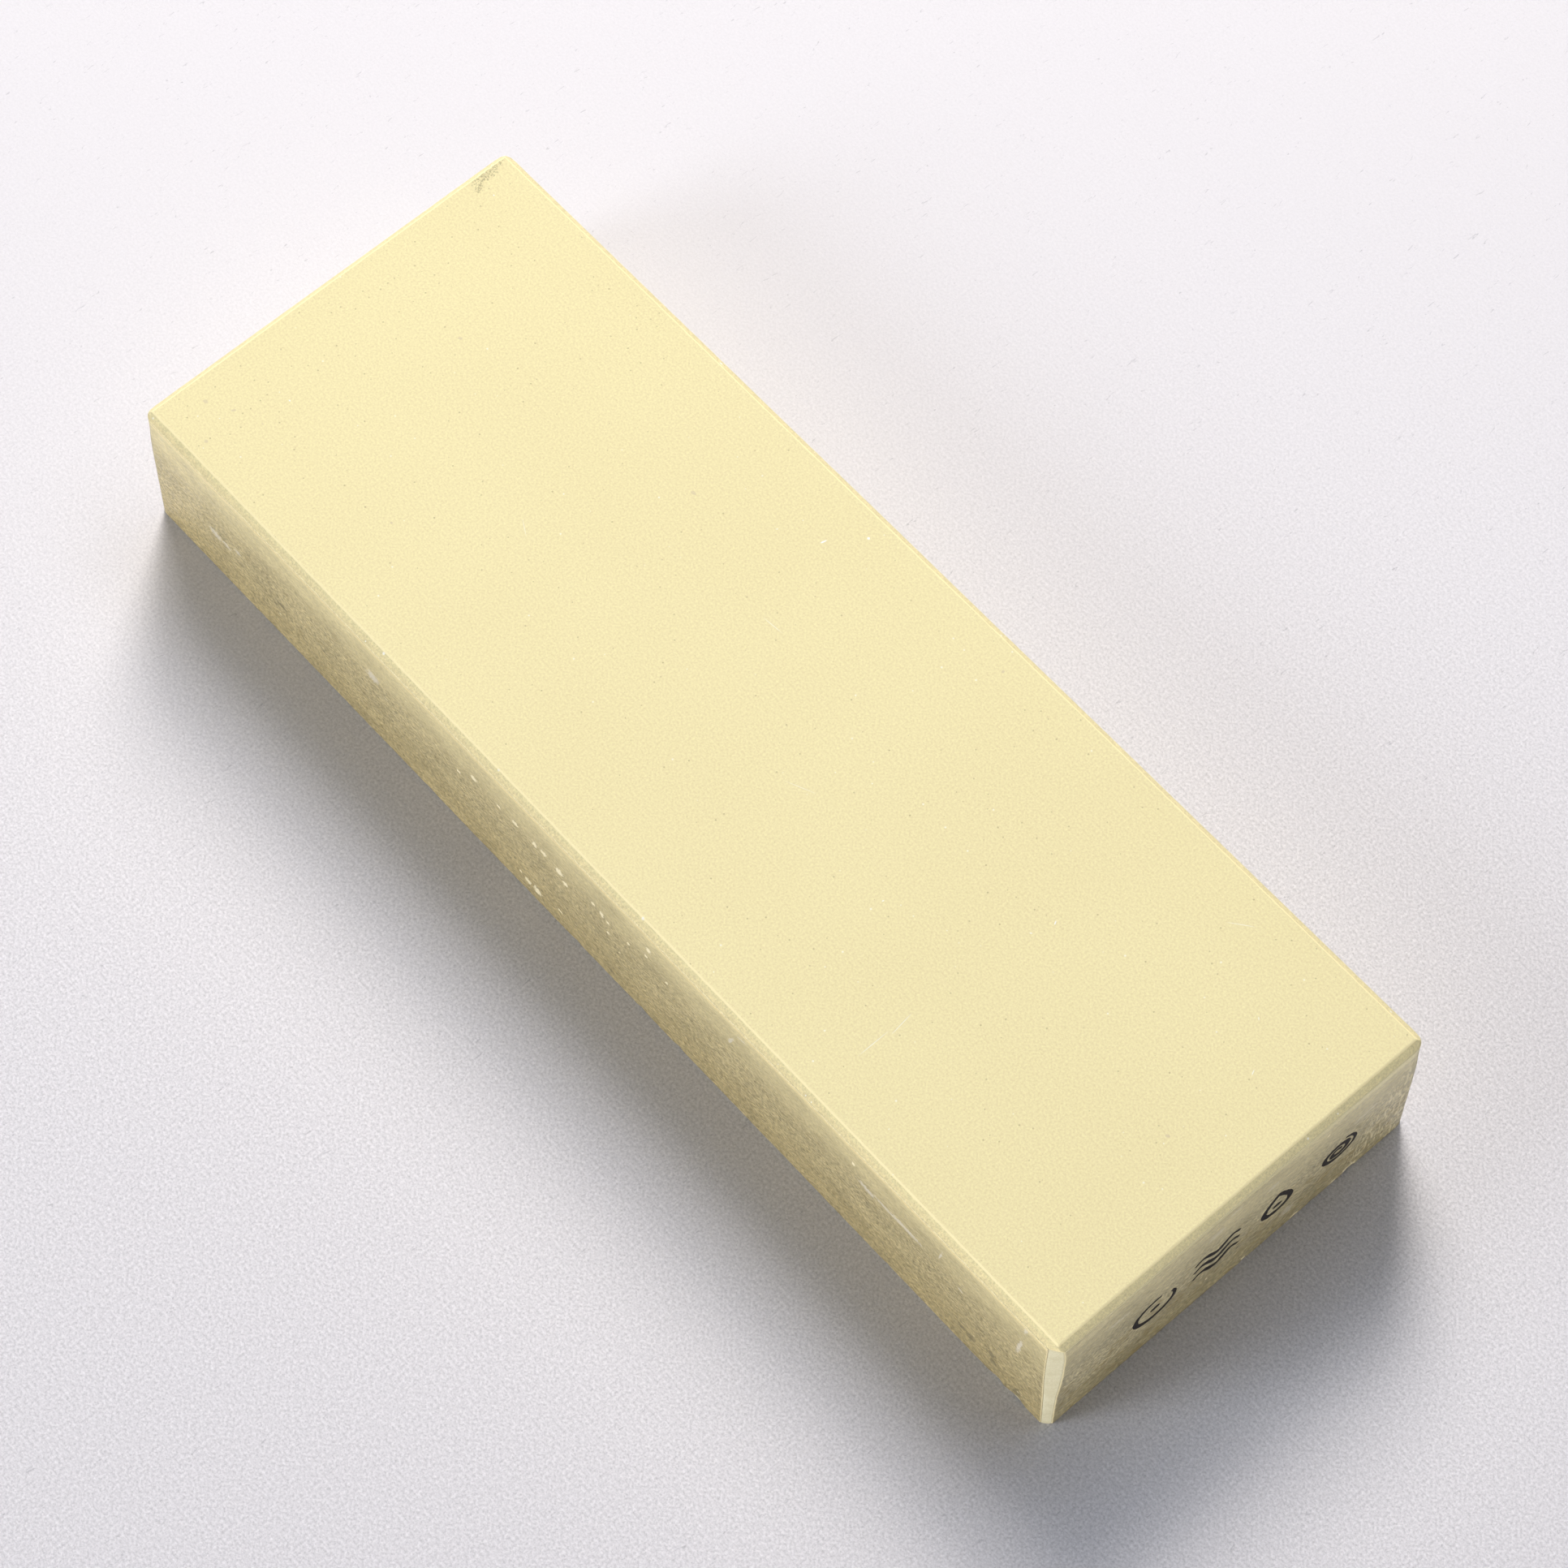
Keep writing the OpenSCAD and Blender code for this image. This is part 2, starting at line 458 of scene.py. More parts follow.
# ---- Materials ----
NOISE_REACH = 4              # brings a noise's usual distance from 0.5 to about 1
PLAIN_SPECULAR = 0.5         # the shader's own value
FAR_OFF = 1e4                # the half size of a blot along the axis that its surface faces


class Look:
    """A procedural material under construction. Texture places are the object's own, in millimetres."""

    def __init__(self, name):
        self.material = bpy.data.materials.new(name)
        self.material.use_nodes = True
        self.tree = self.material.node_tree
        self.tree.nodes.clear()
        self.shader = self.node("ShaderNodeBsdfPrincipled")
        output = self.node("ShaderNodeOutputMaterial")
        self.tree.links.new(self.shader.outputs["BSDF"], output.inputs["Surface"])
        coordinates = self.node("ShaderNodeTexCoord")
        self.place = self.vector("SCALE", coordinates.outputs["Object"], scale=1 / MM)

    def node(self, kind, **settings):
        node = self.tree.nodes.new(kind)
        for key, value in settings.items():
            setattr(node, key, value)
        return node

    def feed(self, socket, value):
        if isinstance(value, bpy.types.NodeSocket):
            self.tree.links.new(value, socket)
        else:
            socket.default_value = value

    def vector(self, operation, a, b=(0, 0, 0), scale=1.0):
        node = self.node("ShaderNodeVectorMath", operation=operation)
        self.feed(node.inputs[0], a if isinstance(a, bpy.types.NodeSocket) else a[:3])
        if operation == "SCALE":
            self.feed(node.inputs["Scale"], scale)
        else:
            self.feed(node.inputs[1], b)
        return node.outputs["Value" if operation in ("LENGTH", "DOT_PRODUCT") else "Vector"]

    def math(self, operation, a, b):
        node = self.node("ShaderNodeMath", operation=operation)
        self.feed(node.inputs[0], a)
        self.feed(node.inputs[1], b)
        return node.outputs[0]

    def plus(self, a, b):
        return self.math("ADD", a, b)

    def minus(self, a, b):
        return self.math("SUBTRACT", a, b)

    def times(self, a, b):
        return self.math("MULTIPLY", a, b)

    def axis(self, name):
        node = self.node("ShaderNodeSeparateXYZ")
        self.feed(node.inputs[0], self.place)
        return node.outputs[name]

    def noise(self, scale, detail=2.0, roughness=0.5, place=None, distortion=0.0):
        """Noise from 0 to 1 about 0.5, with scale features in each millimetre."""
        node = self.node("ShaderNodeTexNoise")
        self.feed(node.inputs["Vector"], place or self.place)
        self.feed(node.inputs["Scale"], scale)
        self.feed(node.inputs["Detail"], detail)
        self.feed(node.inputs["Roughness"], roughness)
        self.feed(node.inputs["Distortion"], distortion)
        return node.outputs["Fac"]

    def pores(self, scale, picked_above, smallest, largest, shift=(0, 0, 0), flat=False):
        """Scattered small spots, in cells of which there are scale in each millimetre. A cell whose own
        number is above picked_above has one. Flat ones are scattered over X and Y only."""
        cells = self.node("ShaderNodeTexVoronoi", voronoi_dimensions="2D" if flat else "3D")
        self.feed(cells.inputs["Vector"], self.vector("ADD", self.place, shift))
        self.feed(cells.inputs["Scale"], scale)
        number = self.node("ShaderNodeSeparateColor")
        self.feed(number.inputs[0], cells.outputs["Color"])
        picked = self.math("GREATER_THAN", number.outputs[0], picked_above)
        size = self.ramp(number.outputs[1], 0, 1, smallest, largest)
        spot = self.ramp(cells.outputs["Distance"], self.times(size, 0.4), size, 1, 0)
        return self.times(spot, picked)

    def blots(self, marks, facing, ragged, strength, grown=(1, 1)):
        """Ragged ellipses at given places on a surface that faces an axis. Each mark is its centre and
        half sizes along the surface's own two axes, and a turn in degrees; grown stretches the sizes."""
        fray = self.times(self.minus(self.noise(2.2, 3, 0.6), 0.5), NOISE_REACH * ragged)
        nearest = None
        for centre, size, turn in marks:
            node = self.node("ShaderNodeMapping", vector_type="TEXTURE")
            self.feed(node.inputs["Vector"], self.place)
            slots = {"X": (1, 2), "Y": (0, 2), "Z": (0, 1)}[facing]
            here, wide, spin = [0.0] * 3, [FAR_OFF] * 3, [0.0] * 3
            for slot, at, half, factor in zip(slots, centre, size, grown):
                here[slot] = at
                wide[slot] = half * factor
            spin["XYZ".index(facing)] = math.radians(-turn if facing == "Y" else turn)
            self.feed(node.inputs["Location"], here)
            self.feed(node.inputs["Rotation"], spin)
            self.feed(node.inputs["Scale"], wide)
            far = self.vector("LENGTH", node.outputs["Vector"])
            nearest = far if nearest is None else self.math("MINIMUM", nearest, far)
        return self.ramp(self.plus(nearest, fray), 0.7, 1.15, strength, 0)

    def ramp(self, value, low, high, bottom=0.0, top=1.0, smooth=True):
        """Value from low to high becomes bottom to top, and stays there beyond them."""
        node = self.node("ShaderNodeMapRange", clamp=True)
        node.interpolation_type = "SMOOTHSTEP" if smooth else "LINEAR"
        for socket, item in zip(node.inputs[:5], (value, low, high, bottom, top)):
            self.feed(socket, item)
        return node.outputs[0]

    def vary(self, value, bottom, top, smooth=True):
        """A noise's usual range becomes bottom to top."""
        return self.ramp(value, 0.3, 0.7, bottom, top, smooth)

    def spread(self, value, amount):
        """A factor about 1 from a noise about 0.5: the amount is how far it goes to each side."""
        away = self.times(self.minus(value, 0.5), NOISE_REACH)
        return self.plus(self.times(away, amount), 1)

    def shade(self, colour, factor):
        return self.vector("SCALE", colour, scale=factor)

    def mix(self, share, a, b):
        node = self.node("ShaderNodeMix", data_type="RGBA")
        self.feed(node.inputs[0], share)
        self.feed(node.inputs[6], a)
        self.feed(node.inputs[7], b)
        return node.outputs[2]

    def stretch(self, x, y, z):
        """The place, with features drawn out by these factors."""
        return self.vector("MULTIPLY", self.place, (1 / x, 1 / y, 1 / z))

    def bump(self, height, distance, strength):
        """Gives the surface a relief. The distance is in metres."""
        node = self.node("ShaderNodeBump")
        self.feed(node.inputs["Height"], height)
        self.feed(node.inputs["Distance"], distance)
        self.feed(node.inputs["Strength"], strength)
        self.feed(self.shader.inputs["Normal"], node.outputs["Normal"])

    def finished(self, colour, roughness, specular=PLAIN_SPECULAR):
        """The material, with its shader fed."""
        self.feed(self.shader.inputs["Base Color"], colour)
        self.feed(self.shader.inputs["Roughness"], roughness)
        self.shader.inputs["Specular IOR Level"].default_value = specular
        return self.material


def rgb(red, green, blue):
    """A colour from its 0 to 255 screen values."""
    def linear(v):
        v /= 255
        return v / 12.92 if v <= 0.04045 else ((v + 0.055) / 1.055) ** 2.4
    return (linear(red), linear(green), linear(blue), 1)


STONE_PALE = rgb(240, 232, 181)
STONE_DARK = rgb(221, 208, 158)
STONE_WHITE = rgb(250, 250, 240)
PORE = rgb(150, 136, 104)
STAIN = rgb(206, 192, 160)
DIRT = rgb(120, 112, 84)
BEVEL_UPPER = rgb(228, 218, 167)
BEVEL_LOWER = rgb(227, 215, 164)
BEVEL_DULL = rgb(221, 212, 165)
RIM_HIGHLIGHT_DARK = rgb(220, 208, 160)
RIM_HIGHLIGHT_PALE = rgb(240, 229, 182)
RUBBED_DARK = rgb(200, 195, 161)
RUBBED_PALE = rgb(212, 209, 179)
COAT_HIGH = rgb(205, 194, 146)
COAT_MIDDLE = rgb(179, 167, 124)
COAT_LOW = rgb(176, 162, 117)
COAT_EDGE = rgb(224, 212, 160)
END_HIGH = rgb(202, 193, 152)
END_MIDDLE = rgb(183, 175, 140)
END_LOW = rgb(163, 154, 117)
COAT_BROWN = rgb(146, 130, 84)
SIDE_BARE = rgb(232, 217, 162)
END_BARE = rgb(221, 213, 168)
FACE_EDGE_HIGHLIGHT = rgb(250, 239, 188)
CHIP = rgb(246, 236, 196)
SMEAR = rgb(226, 222, 206)
INK = rgb(26, 22, 22)
INK_DRY = rgb(70, 62, 54)
PAPER = rgb(232, 230, 230)
FIBRE = rgb(150, 150, 152)

# The stone's extents in millimetres, as the materials use them
HALF_L_MM, HALF_W_MM, TOP_MM = HALF_L / MM, HALF_W / MM, TOP / MM
BEVEL_IN_MM, BEVEL_START_MM = BEVEL_IN / MM, (TOP - BEVEL_DOWN) / MM

# Heights that the coats are worn off above: on the sides, and at -Y and +Y on the ends
SIDE_BORDER = 27.9
END_BORDER = (28.8, 26.8)
FACE_BORDER = 0.25           # the honing face's colour, brightened as a painted highlight, reaches this far down the bevels
PAPER_AWAY = (-0.73, 0.68, 0)   # the direction in which the paper's tooth softens

# Blots on a surface, each a centre and half sizes, and a turn in degrees about the axis that the
# surface faces
FACE_STAINS = (
    ((-97.3, -28.1), (0.42, 0.34), 20), ((-93.2, -25.9), (0.4, 0.2), 60), ((-91.7, -32.5), (0.34, 0.3), 0),
    ((-88.4, -24.1), (0.20, 0.12), 10), ((-80.2, 8.4), (0.35, 0.25), 40), ((-35.7, 17.2), (0.45, 0.30), 15),
    ((18.0, 31.5), (0.30, 0.22), 70), ((88.5, -2.0), (0.40, 0.25), 30), ((-62.0, -20.5), (0.24, 0.20), 0),
)
FACE_LINT = (
    ((-16.3, 26.3), (0.55, 0.14), 75), ((-22.6, 22.5), (0.22, 0.07), 62), ((53.4, 9.0), (0.34, 0.10), 120),
    ((52.3, 5.2), (0.20, 0.08), 40), ((34.2, -7.4), (0.22, 0.09), 70), ((-12.2, 31.8), (0.26, 0.22), 0),
    ((-88.9, -18.4), (0.18, 0.12), 0), ((-96.9, 29.3), (0.16, 0.12), 0), ((84.0, 20.5), (0.30, 0.05), 140),
    ((89.5, 14.0), (0.45, 0.07), 115),
)
FACE_SCRATCHES = (
    ((50.1, -23.6), (2.9, 0.06), 90), ((50.5, -18.6), (2.2, 0.06), 97), ((-10.6, 11.0), (1.9, 0.05), 5),
    ((71.6, 29.1), (2.2, 0.05), 38), ((12.5, -4.0), (2.6, 0.04), 24), ((-48.0, -6.0), (1.6, 0.04), 150),
)
FACE_DIRT = (
    ((-100.6, 30.6), (0.9, 2.4), 0), ((-99.6, 28.6), (0.6, 1.2), 20), ((-100.9, 33.2), (0.35, 1.6), 0),
)
LEFT_CHIPS = (
    ((-10.6, 3.7), (0.85, 0.50), -8), ((-12.8, 3.8), (0.75, 0.30), -12), ((-14.5, 4.6), (0.35, 0.18), -30),
    ((-4.9, 19.0), (0.85, 0.42), -20), ((-3.6, 16.9), (0.50, 0.34), -15), ((-8.4, 19.9), (0.65, 0.30), -25),
    ((-10.5, 19.7), (0.45, 0.35), -10), ((-15.0, 20.0), (0.60, 0.30), 0), ((-18.7, 20.0), (0.50, 0.18), -25),
    ((-24.4, 20.8), (0.70, 0.28), -15), ((-28.1, 17.6), (0.45, 0.18), 0), ((2.9, 20.2), (0.40, 0.22), -35),
    ((4.8, 19.6), (0.45, 0.36), 0), ((6.2, 18.8), (0.35, 0.22), -20), ((6.1, 15.2), (0.35, 0.18), -25),
    ((10.8, 18.9), (0.30, 0.20), -20), ((15.4, 23.9), (0.55, 0.30), -15), ((14.8, 21.0), (0.35, 0.18), -30),
    ((19.4, 19.0), (0.30, 0.20), -20), ((60.1, 23.4), (0.32, 0.22), -20), ((-5.3, 4.9), (0.50, 0.14), -18),
)
LEFT_SMEARS = (
    ((63.0, 19.4), (1.7, 0.32), -14), ((67.0, 19.6), (2.4, 0.20), -8), ((71.5, 19.7), (3.0, 0.30), -3),
    ((95.3, 19.6), (0.35, 1.6), -8), ((96.2, 27.6), (0.30, 1.0), -14), ((78.6, 22.7), (0.16, 0.9), -10),
    ((33.6, 22.4), (0.30, 0.9), -20), ((36.0, 26.2), (0.9, 0.12), 10), ((-87.0, 12.4), (1.4, 0.55), -14),
    ((-48.1, 19.7), (1.3, 0.70), -12), ((-84.4, 12.2), (0.9, 0.30), -10), ((-81.4, 13.8), (0.6, 0.30), -10),
    ((83.1, 18.0), (0.5, 0.16), -20),
)
LEFT_DARK = (
    ((86.0, 5.1), (0.9, 0.55), -20), ((84.2, 5.6), (0.7, 0.35), -20), ((90.4, 6.6), (1.0, 0.55), -25),
    ((90.9, 4.6), (0.8, 0.40), -20), ((95.9, 2.3), (0.8, 0.6), -30), ((-70.9, 11.0), (0.8, 0.28), -15),
    ((-72.4, 9.6), (0.5, 0.22), -15), ((-85.2, 13.4), (0.8, 0.14), -20), ((6.5, 2.4), (0.6, 0.30), -10),
)
END_SMEARS = (
    ((-5.0, 23.0), (1.8, 0.8), 10), ((6.5, 22.6), (1.2, 0.7), 0), ((11.5, 6.0), (1.4, 1.2), 30),
    ((-1.3, 26.0), (1.6, 0.4), 5), ((25.5, 20.0), (2.6, 0.5), 12), ((-24.0, 22.0), (2.2, 0.5), -5),
)
END_CHIPS = (
    ((25.0, 0.9), (1.5, 0.6), 0), ((21.8, 0.7), (0.7, 0.3), 0), ((13.6, 0.8), (0.8, 0.3), 0),
    ((-5.0, 6.3), (0.3, 0.3), 0), ((17.4, 24.4), (0.3, 0.3), 0), ((3.0, 1.0), (0.5, 0.3), 0),
)
END_DARK = (
    ((-12.0, 7.5), (1.3, 1.0), 0), ((2.0, 5.5), (1.5, 0.9), 20), ((24.5, 6.0), (0.8, 1.9), -25),
    ((29.0, 8.5), (0.6, 1.6), -30), ((-24.0, 10.5), (1.8, 0.6), 10), ((13.5, 3.2), (1.0, 0.6), 0),
)


def honed_look():
    """The honing face: ground flat and fine, with a faint grain, open pores, lint and scratches."""
    look = Look("honed_abrasive")
    grain = look.noise(2.8, 3, 0.72)
    cloud = look.noise(0.03, 1, 0.5)
    tone = look.plus(look.vary(grain, 0, 1, smooth=False), look.vary(cloud, -0.04, 0.04))
    colour = look.mix(tone, STONE_DARK, STONE_PALE)
    picked_above = look.ramp(look.axis("X"), -102, -50, 0.78, 0.93)   # more pores at the plain end
    pore = look.pores(0.6, picked_above, 0.05, 0.11, flat=True)
    colour = look.mix(look.times(pore, 0.42), colour, PORE)
    pale = look.pores(0.4, 0.95, 0.04, 0.09, (31, 17, 5), flat=True)
    colour = look.mix(look.times(pale, 0.6), colour, STONE_WHITE)
    colour = look.mix(look.blots(FACE_STAINS, "Z", 0.3, 0.55), colour, STAIN)
    patchy = look.ramp(look.noise(2.4, 3, 0.7), 0.4, 0.62)
    colour = look.mix(look.times(look.blots(FACE_DIRT, "Z", 0.9, 0.6), patchy), colour, DIRT)
    scratch = look.blots(FACE_SCRATCHES, "Z", 0.2, 0.7)
    lint = look.blots(FACE_LINT, "Z", 0.25, 1.0)
    colour = look.mix(look.math("MAXIMUM", scratch, lint), colour, STONE_WHITE)
    height = look.minus(grain, look.times(pore, 1.5))
    look.bump(look.plus(height, look.minus(lint, scratch)), 0.05 * MM, 0.7)
    return look.finished(colour, look.vary(grain, 0.80, 0.95), specular=0.25)


def bevel_look():
    """The bevels: ground on a coarse plate, so granular, a little duller at the marked end, with the
    honing face's colour, brightened into a painted highlight, along their top, and with painted glints."""
    look = Look("granular_bevel")
    grain = look.noise(3.0, 3, 0.7)
    coarse = look.noise(0.9, 2, 0.55)
    height = look.axis("Z")
    down = look.ramp(height, BEVEL_START_MM, TOP_MM, 1, 0, smooth=False)
    wander = look.plus(down, look.vary(coarse, -0.12, 0.12))
    not_right = look.ramp(look.axis("Y"), HALF_W_MM - 3.5, HALF_W_MM - 1.5, 1, 0)
    upper = look.times(look.ramp(wander, 0.38, 0.60, 1, 0), not_right)
    colour = look.mix(upper, BEVEL_LOWER, BEVEL_UPPER)
    dull = look.ramp(look.axis("X"), HALF_L_MM - BEVEL_IN_MM, HALF_L_MM - 0.5 * BEVEL_IN_MM, 0, 0.7)
    colour = look.mix(dull, colour, BEVEL_DULL)
    colour = look.shade(colour, look.times(look.spread(grain, 0.22), look.spread(coarse, 0.03)))
    # painted highlight: the top of the bevels is painted in the honing face's colour, brightened beyond it
    # so that the tilted strip shows as bright as the face
    top = look.ramp(height, TOP_MM - FACE_BORDER - 0.05, TOP_MM - FACE_BORDER + 0.05)
    colour = look.mix(top, colour, FACE_EDGE_HIGHLIGHT)
    # painted glints: white specks on the bevels stand in for grains catching the light
    painted_glint = look.pores(0.8, 0.90, 0.10, 0.30, (3, 9, 4))
    colour = look.mix(look.times(painted_glint, 0.8), colour, STONE_WHITE)
    look.bump(grain, 0.07 * MM, 0.7)
    return look.finished(colour, 0.9, specular=0.3)


def rubbed_look():
    """Bare abrasive rubbed smooth: the first upright corner, the chips and the underside."""
    look = Look("rubbed_abrasive")
    grain = look.noise(4.5, 2, 0.55)
    cloud = look.noise(0.4, 2, 0.5)
    tone = look.ramp(look.plus(grain, cloud), 0.7, 1.3)
    look.bump(grain, 0.02 * MM, 0.6)
    return look.finished(look.mix(tone, RUBBED_DARK, RUBBED_PALE), 0.85, specular=0.3)


def coat_base(look, drawn, high, middle, low):
    """What both coats share: paler above and browner below, mottled, with drawn-out dimples painted brown as
    painted shade in their hollows, and flecks.
    Returns its colour, its relief and how far down each point is, from 0 to 1."""
    height = look.axis("Z")
    lower = look.ramp(height, 0.12 * TOP_MM, 0.90 * TOP_MM, 1, 0)
    colour = look.mix(look.ramp(height, 0.50 * TOP_MM, 0.95 * TOP_MM), middle, high)
    colour = look.mix(look.ramp(height, 0.50 * TOP_MM, 0.06 * TOP_MM), colour, low)
    mottle = look.noise(0.22, 3, 0.6, drawn)
    dimple = look.noise(1.1, 3, 0.6, drawn)
    fine = look.noise(3.6, 3, 0.7, drawn)
    fleck = look.noise(1.9, 3, 0.65, drawn)
    rough = look.ramp(lower, 0.02, 0.5, 0.4, 1)
    colour = look.shade(colour, look.spread(mottle, 0.16))
    colour = look.shade(colour, look.spread(fine, look.times(rough, 0.80)))
    # painted shade: the dimples, which the relief sinks, are painted brown as if shaded in their hollows
    dark = look.times(look.ramp(dimple, 0.54, 0.70), look.times(rough, 0.55))
    colour = look.mix(dark, colour, COAT_BROWN)
    light = look.times(look.ramp(fleck, 0.62, 0.76), look.times(rough, 0.4))
    colour = look.mix(light, colour, CHIP)
    relief = look.minus(look.times(fine, 0.35), dimple)
    return colour, look.times(relief, rough), lower


def worn_top(look, colour, bare, border):
    """The coat's colour, with granular bare stone above a border height, where the coat has worn off."""
    wander = look.vary(look.noise(0.5, 2, 0.6), -0.12, 0.12)
    above = look.minus(look.plus(look.axis("Z"), wander), border)
    granular = look.shade(bare, look.spread(look.noise(3.6, 3, 0.7), 0.22))
    return look.mix(look.ramp(above, -0.08, 0.08), colour, granular)


def finished_coat(look, colour, relief, gloss):
    """The material of a semi-gloss coat, whose gloss a noise breaks up."""
    look.bump(relief, 0.12 * MM, 0.6)
    return look.finished(colour, look.vary(gloss, 0.38, 0.56))


def side_coat_look():
    """The coat on the long sides: a thin semi-gloss skin over a pitted surface, chipped here and there.
    The placed chips and smears are on the left side only."""
    look = Look("side_coat")
    drawn = look.stretch(2.2, 1, 1)
    colour, relief, _ = coat_base(look, drawn, COAT_HIGH, COAT_MIDDLE, COAT_LOW)
    # painted light: the side coat is painted paler towards the plain end and darker towards the marked end,
    # for the way the light falls along the side
    painted_light_falloff = look.ramp(look.axis("X"), -HALF_L_MM, HALF_L_MM, 1.11, 0.92, smooth=False)
    colour = look.shade(colour, painted_light_falloff)
    edge = look.ramp(look.axis("Z"), 0.87 * TOP_MM, BEVEL_START_MM, 0, 0.8)
    colour = look.mix(edge, colour, COAT_EDGE)
    left = look.ramp(look.axis("Y"), -1, 1, 1, 0)
    chips = look.times(look.blots(LEFT_CHIPS, "Y", 0.6, 1.0, (1.1, 2.2)), left)
    smears = look.times(look.blots(LEFT_SMEARS, "Y", 0.6, 0.55, (1.1, 1.8)), left)
    dark = look.times(look.blots(LEFT_DARK, "Y", 0.8, 0.75, (1.1, 1.8)), left)
    chipped_area = look.ramp(look.noise(0.06, 1), 0.5, 0.6)
    scattered = look.times(look.ramp(look.noise(0.9, 3, 0.6, drawn), 0.70, 0.74), chipped_area)
    chips = look.math("MAXIMUM", chips, scattered)
    colour = look.mix(dark, colour, DIRT)
    colour = look.mix(smears, colour, SMEAR)
    colour = look.mix(chips, colour, CHIP)
    colour = worn_top(look, colour, SIDE_BARE, SIDE_BORDER)
    relief = look.minus(relief, look.times(chips, 0.7))
    return finished_coat(look, colour, relief, look.noise(1.6, 2, 0.5, drawn))


def end_coat_look():
    """The coat on the ends: greyer, brushed on across the end, wrinkled where it ran."""
    look = Look("end_coat")
    drawn = look.stretch(1, 2.6, 1)
    colour, relief, lower = coat_base(look, drawn, END_HIGH, END_MIDDLE, END_LOW)
    streak = look.noise(0.9, 3, 0.6, look.stretch(1, 9, 1))
    colour = look.shade(colour, look.spread(streak, 0.15))
    fleck = look.noise(2.4, 3, 0.65, look.stretch(1, 3.2, 1))
    colour = look.shade(colour, look.spread(fleck, look.ramp(lower, 0.2, 0.7, 0.08, 0.40)))
    patch = look.noise(0.6, 3, 0.65, look.stretch(1, 1.5, 1))
    brown = look.times(look.ramp(patch, 0.50, 0.66), look.ramp(lower, 0.3, 0.9, 0, 0.6))
    colour = look.mix(brown, colour, COAT_BROWN)
    colour = look.mix(look.blots(END_DARK, "X", 0.8, 0.4), colour, COAT_BROWN)
    colour = look.mix(look.blots(END_SMEARS, "X", 0.7, 0.35), colour, SMEAR)
    colour = look.mix(look.blots(END_CHIPS, "X", 0.5, 0.9), colour, CHIP)
    slant = look.minus(look.axis("Y"), look.times(look.axis("Z"), 0.5))
    ridge = look.noise(1.6, 2, 0.5, look.stretch(1, 1, 3.5), 0.6)
    wrinkle = look.times(look.ramp(ridge, 0.48, 0.60), look.ramp(slant, 18, 24))
    colour = look.mix(look.times(wrinkle, 0.45), colour, CHIP)
    border = look.ramp(look.axis("Y"), -HALF_W_MM, HALF_W_MM, *END_BORDER, smooth=False)
    colour = worn_top(look, colour, END_BARE, border)
    return finished_coat(look, colour, look.plus(relief, look.times(wrinkle, 1.5)), streak)


def rim_look():
    """The cut edge of the coat, with a painted highlight: painted pale where it catches the light, and less
    so at the marked end.
    """
    look = Look("coat_edge")
    tone = look.ramp(look.noise(3, 2, 0.6), 0.35, 0.65)
    colour = look.mix(tone, RIM_HIGHLIGHT_DARK, RIM_HIGHLIGHT_PALE)
    # painted shade: the rim's painted highlight is toned down towards the coat's colour at the marked end
    dull = look.ramp(look.axis("X"), HALF_L_MM - 3, HALF_L_MM - 1, 0, 0.8)
    return look.finished(look.mix(dull, colour, END_HIGH), 0.7)


def ink_look():
    """Brushed ink, dense where the brush was wet and brown where it dragged dry."""
    look = Look("brushed_ink")
    streak = look.noise(2.5, 3, 0.6)
    look.bump(streak, 0.03 * MM, 0.5)
    colour = look.mix(look.ramp(streak, 0.52, 0.80), INK, INK_DRY)
    return look.finished(colour, look.vary(streak, 0.55, 0.75), specular=0.3)


def paper_look():
    """Plain pale paper with a fine tooth, softer towards the far side, and a few darker fibres."""
    look = Look("pale_paper")
    tooth = look.noise(2.2, 3, 0.75)
    fibre = look.noise(1.1, 1, 0.5, look.stretch(0.5, 2.2, 1), 1.5)
    away = look.vector("DOT_PRODUCT", look.place, PAPER_AWAY)
    colour = look.shade(PAPER, look.spread(tooth, look.ramp(away, -40, 130, 0.29, 0.05)))
    colour = look.mix(look.ramp(fibre, 0.70, 0.80, 0, 0.35), colour, FIBRE)
    look.bump(tooth, 0.07 * MM, 0.6)
    return look.finished(colour, 0.85, specular=0.2)


# ---- Ink marks ----
INK_FULL = 1.2 * MM          # width of a full stroke
THIN_END = 0.55              # a stroke's width at its ends, as a share of its full width
INK_PROUD = 0.012 * MM       # how far the middle of a stroke stands out of the coat's surface
INK_DEPTH = 0.03 * MM        # how far it goes into the coat
MARK_W, MARK_H = 9 * MM, 7.5 * MM
STROKE_STEPS, STROKE_ACROSS = 150, 8


def middle_of(node):
    low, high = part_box(node)
    return (low + high) / 2


def neighbours(line, i, closed):
    """The points before and after one point of a line, or the point itself at an open end."""
    steps = len(line) - 1
    if closed:
        return line[(i - 1) % steps], line[(i + 1) % steps]
    return line[max(i - 1, 0)], line[min(i + 1, steps)]


